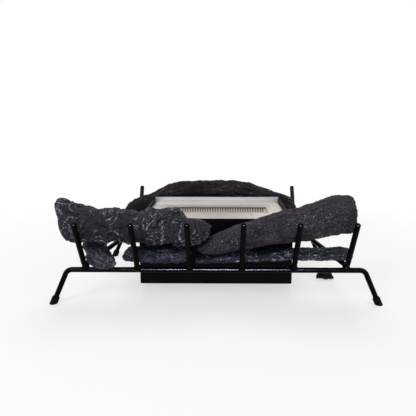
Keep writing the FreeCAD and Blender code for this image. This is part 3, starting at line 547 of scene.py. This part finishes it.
def dressLog(node, look):
    piece = roughCopy(node, look["voxel"])
    mesh = piece.data
    points = readPoints(mesh, "co")
    for place, reach, move in look["pulls"]:
        away = np.linalg.norm(points - np.array(place) * mm, axis=1) / (reach * mm)
        weight = np.clip(1 - away * away, 0, 1) ** 2
        points += weight[:, None] * np.array(move) * mm
    mesh.vertices.foreach_set("co", points.ravel())
    mesh.update()
    normals = readPoints(mesh, "normal")
    places = barkPlaces(points)
    heights = np.array([barkHeight(place, look) for place in places])
    layers = np.array([barkLayer(place, look) for place in places])
    heights += layers[:, 0]
    tree = neighbourTree(node)
    room = np.array([tree.find_nearest(Vector(point))[3] for point in points]) / mm
    heights = np.minimum(heights, barkForm["roomShare"] * room)
    points += normals * heights[:, None] * mm
    points[:, 2] = np.maximum(points[:, 2], cadBox[0][2])
    if node == "back_log":  # its bark stays off the housing's rear wall, which slides past it
        points[:, 1] = np.maximum(points[:, 1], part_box(node)[0].y)
    ends = np.empty(len(mesh.edges) * 2, dtype=np.int64)
    mesh.edges.foreach_get("vertices", ends)
    ends = ends.reshape(-1, 2)
    smooth = points
    for step in range(barkForm["smoothSteps"]):
        smooth = neighbourMean(smooth, ends, len(points))
    proud = ((points - smooth) * normals).sum(axis=1)
    ridge = np.clip(proud / (barkForm["ridgeMm"] * mm), -1, 1)
    mesh.vertices.foreach_set("co", points.ravel())
    mesh.attributes.new("ridge", "FLOAT", "POINT").data.foreach_set("value", ridge)
    mesh.attributes.new("torn", "FLOAT", "POINT").data.foreach_set("value", layers[:, 1])
    mesh.attributes.new("barkPlace", "FLOAT_VECTOR", "POINT").data.foreach_set("vector", places.ravel())
    mesh.materials.append(charredCeramic(node, look))
    mesh.polygons.foreach_set("use_smooth", np.ones(len(mesh.polygons), dtype=bool))
    mesh.update()
    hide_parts(node)
    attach(piece, bodyOf[node])
    print("bark on", node, "with", len(mesh.polygons), "faces, heights",
          round(heights.min(), 2), round(heights.max(), 2))


# without a seed noise_vector shifts its field by chance, and the bark would differ from run to run
noise.seed_set(barkForm["warpSeed"])
for logName, logLook in logLooks.items():
    dressLog(logName, logLook)


def dressWool():
    piece = roughCopy("fibre_wool", fibreLook["voxelMm"])
    piece.name = "fibre_wool_felt"
    mesh = piece.data
    points = readPoints(mesh, "co")
    normals = readPoints(mesh, "normal")
    for i, point in enumerate(points):
        place = Vector(point) / mm
        tuft = noise.fractal(place / fibreLook["tuftMm"], *fibreLook["tuftNoise"]) * fibreLook["tuftStepMm"]
        fuzz = noise.noise(place / fibreLook["fuzzMm"]) * fibreLook["fuzzStepMm"]
        points[i] += normals[i] * min(tuft + fuzz - fibreLook["sinkMm"], fibreLook["proudMm"]) * mm
    mesh.vertices.foreach_set("co", points.ravel())
    mesh.polygons.foreach_set("use_smooth", np.ones(len(mesh.polygons), dtype=bool))
    mesh.materials.append(slotMaterials["fibre_wool"])
    mesh.update()
    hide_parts("fibre_wool")
    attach(piece, bodyOf["fibre_wool"])
    print("wool dressed")


dressWool()

for nodeName, nodeObject in nodes.items():
    if nodeName in logLooks or nodeName == "fibre_wool":
        continue
    nodeObject.data.materials.clear()
    nodeObject.data.materials.append(nodeMaterials.get(nodeName, slotMaterials[slotOf[nodeName]]))
print("materials on the carried-over nodes")

# places and sizes in metres
lampSettings = {
    "key": {"place": (-1.1, -1.5, 1.6), "watts": 14.0, "size": (0.7, 0.7)},
    "fill": {"place": (1.5, -1.3, 1.0), "watts": 5.0, "size": (1.2, 1.2)},
    "top": {"place": (0.0, 0.5, 1.9), "watts": 12.0, "size": (1.0, 1.0)},
    "strip": {"place": (0.0, -1.6, 0.95), "watts": 450.0, "size": (0.75, 0.05), "colour": "#d3e4ff"},
}
# the strip lights the gloss of the rods alone
rodNames = [name for name, slot in slotOf.items() if slot == "gloss_black_rod"]
rodGroup = bpy.data.collections.new("rods_under_the_strip")
for name in rodNames:
    rodGroup.objects.link(nodes[name])
middleOfPart = (Vector(cadBox[0]) + Vector(cadBox[1])) / 2
for lampName, look in lampSettings.items():
    lampData = bpy.data.lights.new(lampName + "_lamp", "AREA")
    lampData.energy = look["watts"]
    lampData.shape = "RECTANGLE"
    lampData.size, lampData.size_y = look["size"]
    lamp = bpy.data.objects.new(lampName + "_lamp", lampData)
    bpy.context.scene.collection.objects.link(lamp)
    lamp.location = look["place"]
    lamp.rotation_euler = (middleOfPart - Vector(look["place"])).to_track_quat("-Z", "Y").to_euler()
    if lampName == "top":  # out of reflections, so that the burner's plate doesn't clip to white
        lamp.visible_glossy = False
    if lampName == "strip":
        lamp.light_linking.receiver_collection = rodGroup
        lamp.visible_diffuse = False
        lampData.color = toLinear(look["colour"])[:3]

# the photograph's camera, in metres and degrees
cameraSettings = {"place": (0.0082, -0.7654, 0.3449), "tiltDeg": 81.75, "turnDeg": 0.41, "lensMm": 32.67,
                  "sensorMm": 36.0, "shift": (-0.023, -0.096)}
cameraData = bpy.data.cameras.new("front_camera")
cameraData.lens = cameraSettings["lensMm"]
cameraData.sensor_width = cameraSettings["sensorMm"]
cameraData.shift_x, cameraData.shift_y = cameraSettings["shift"]
camera = bpy.data.objects.new("front_camera", cameraData)
bpy.context.scene.collection.objects.link(camera)
camera.location = cameraSettings["place"]
camera.rotation_euler = (math.radians(cameraSettings["tiltDeg"]), 0.0,
                         math.radians(cameraSettings["turnDeg"]))
bpy.context.scene.camera = camera
print("camera and lamps ready")

bpy.context.scene.view_settings.view_transform = "Standard"

# pale floor that keeps the shadow near the part and runs out to plain white
floorSettings = {"reach": 8.0, "colour": "#f7f7f7", "lift": 0.6, "nearMm": 420.0, "farMm": 900.0}


def paleFloor():
    material, tree = startMaterial("pale_studio_floor")
    place = put(tree, "TexCoord").outputs["Object"]
    away = put(tree, "VectorMath", {0: place}, operation="LENGTH")
    fade = put(tree, "MapRange", {"Value": away.outputs["Value"], "From Min": floorSettings["nearMm"] * mm,
                                  "From Max": floorSettings["farMm"] * mm}, interpolation_type="SMOOTHSTEP")
    shade = put(tree, "BsdfDiffuse", {"Color": toLinear(floorSettings["colour"])})
    far = put(tree, "Emission", {"Color": grey(1.0), "Strength": 1.0})
    rays = put(tree, "LightPath")
    lift = put(tree, "Math", {0: rays.outputs["Is Camera Ray"], 1: floorSettings["lift"]},
               operation="MULTIPLY")
    near = put(tree, "MixShader", {0: lift.outputs["Value"], 1: shade.outputs["BSDF"],
                                   2: far.outputs["Emission"]})
    mix = put(tree, "MixShader", {0: fade.outputs["Result"], 1: near.outputs["Shader"],
                                  2: far.outputs["Emission"]})
    put(tree, "OutputMaterial", {"Surface": mix.outputs["Shader"]})
    return material


floorMesh = bpy.data.meshes.new("studio_floor")
reach = floorSettings["reach"]
corners = [(-reach, -reach, 0), (reach, -reach, 0), (reach, reach, 0), (-reach, reach, 0)]
floorMesh.from_pydata(corners, [], [(0, 1, 2, 3)])
floor = bpy.data.objects.new("studio_floor", floorMesh)
bpy.context.scene.collection.objects.link(floor)
floorMesh.materials.append(paleFloor())

# the room: white to the eye and in reflections, soft even light on the part
worldSettings = {"light": 0.5, "seen": 1.0}
world = bpy.data.worlds.new("studio_room")
world.use_nodes = True
bpy.context.scene.world = world
roomTree = world.node_tree
roomTree.nodes.clear()
rays = put(roomTree, "LightPath")
direct = put(roomTree, "Math", {0: rays.outputs["Is Camera Ray"], 1: rays.outputs["Is Glossy Ray"]},
             operation="MAXIMUM")
seen = put(roomTree, "Math", {0: direct.outputs["Value"], 1: rays.outputs["Is Transmission Ray"]},
           operation="MAXIMUM")
strength = put(roomTree, "MapRange", {"Value": seen.outputs["Value"], "To Min": worldSettings["light"],
                                      "To Max": worldSettings["seen"]})
sky = put(roomTree, "Background", {"Color": grey(1.0), "Strength": strength.outputs["Result"]})
put(roomTree, "OutputWorld", {"Surface": sky.outputs["Background"]})
print("stage ready")
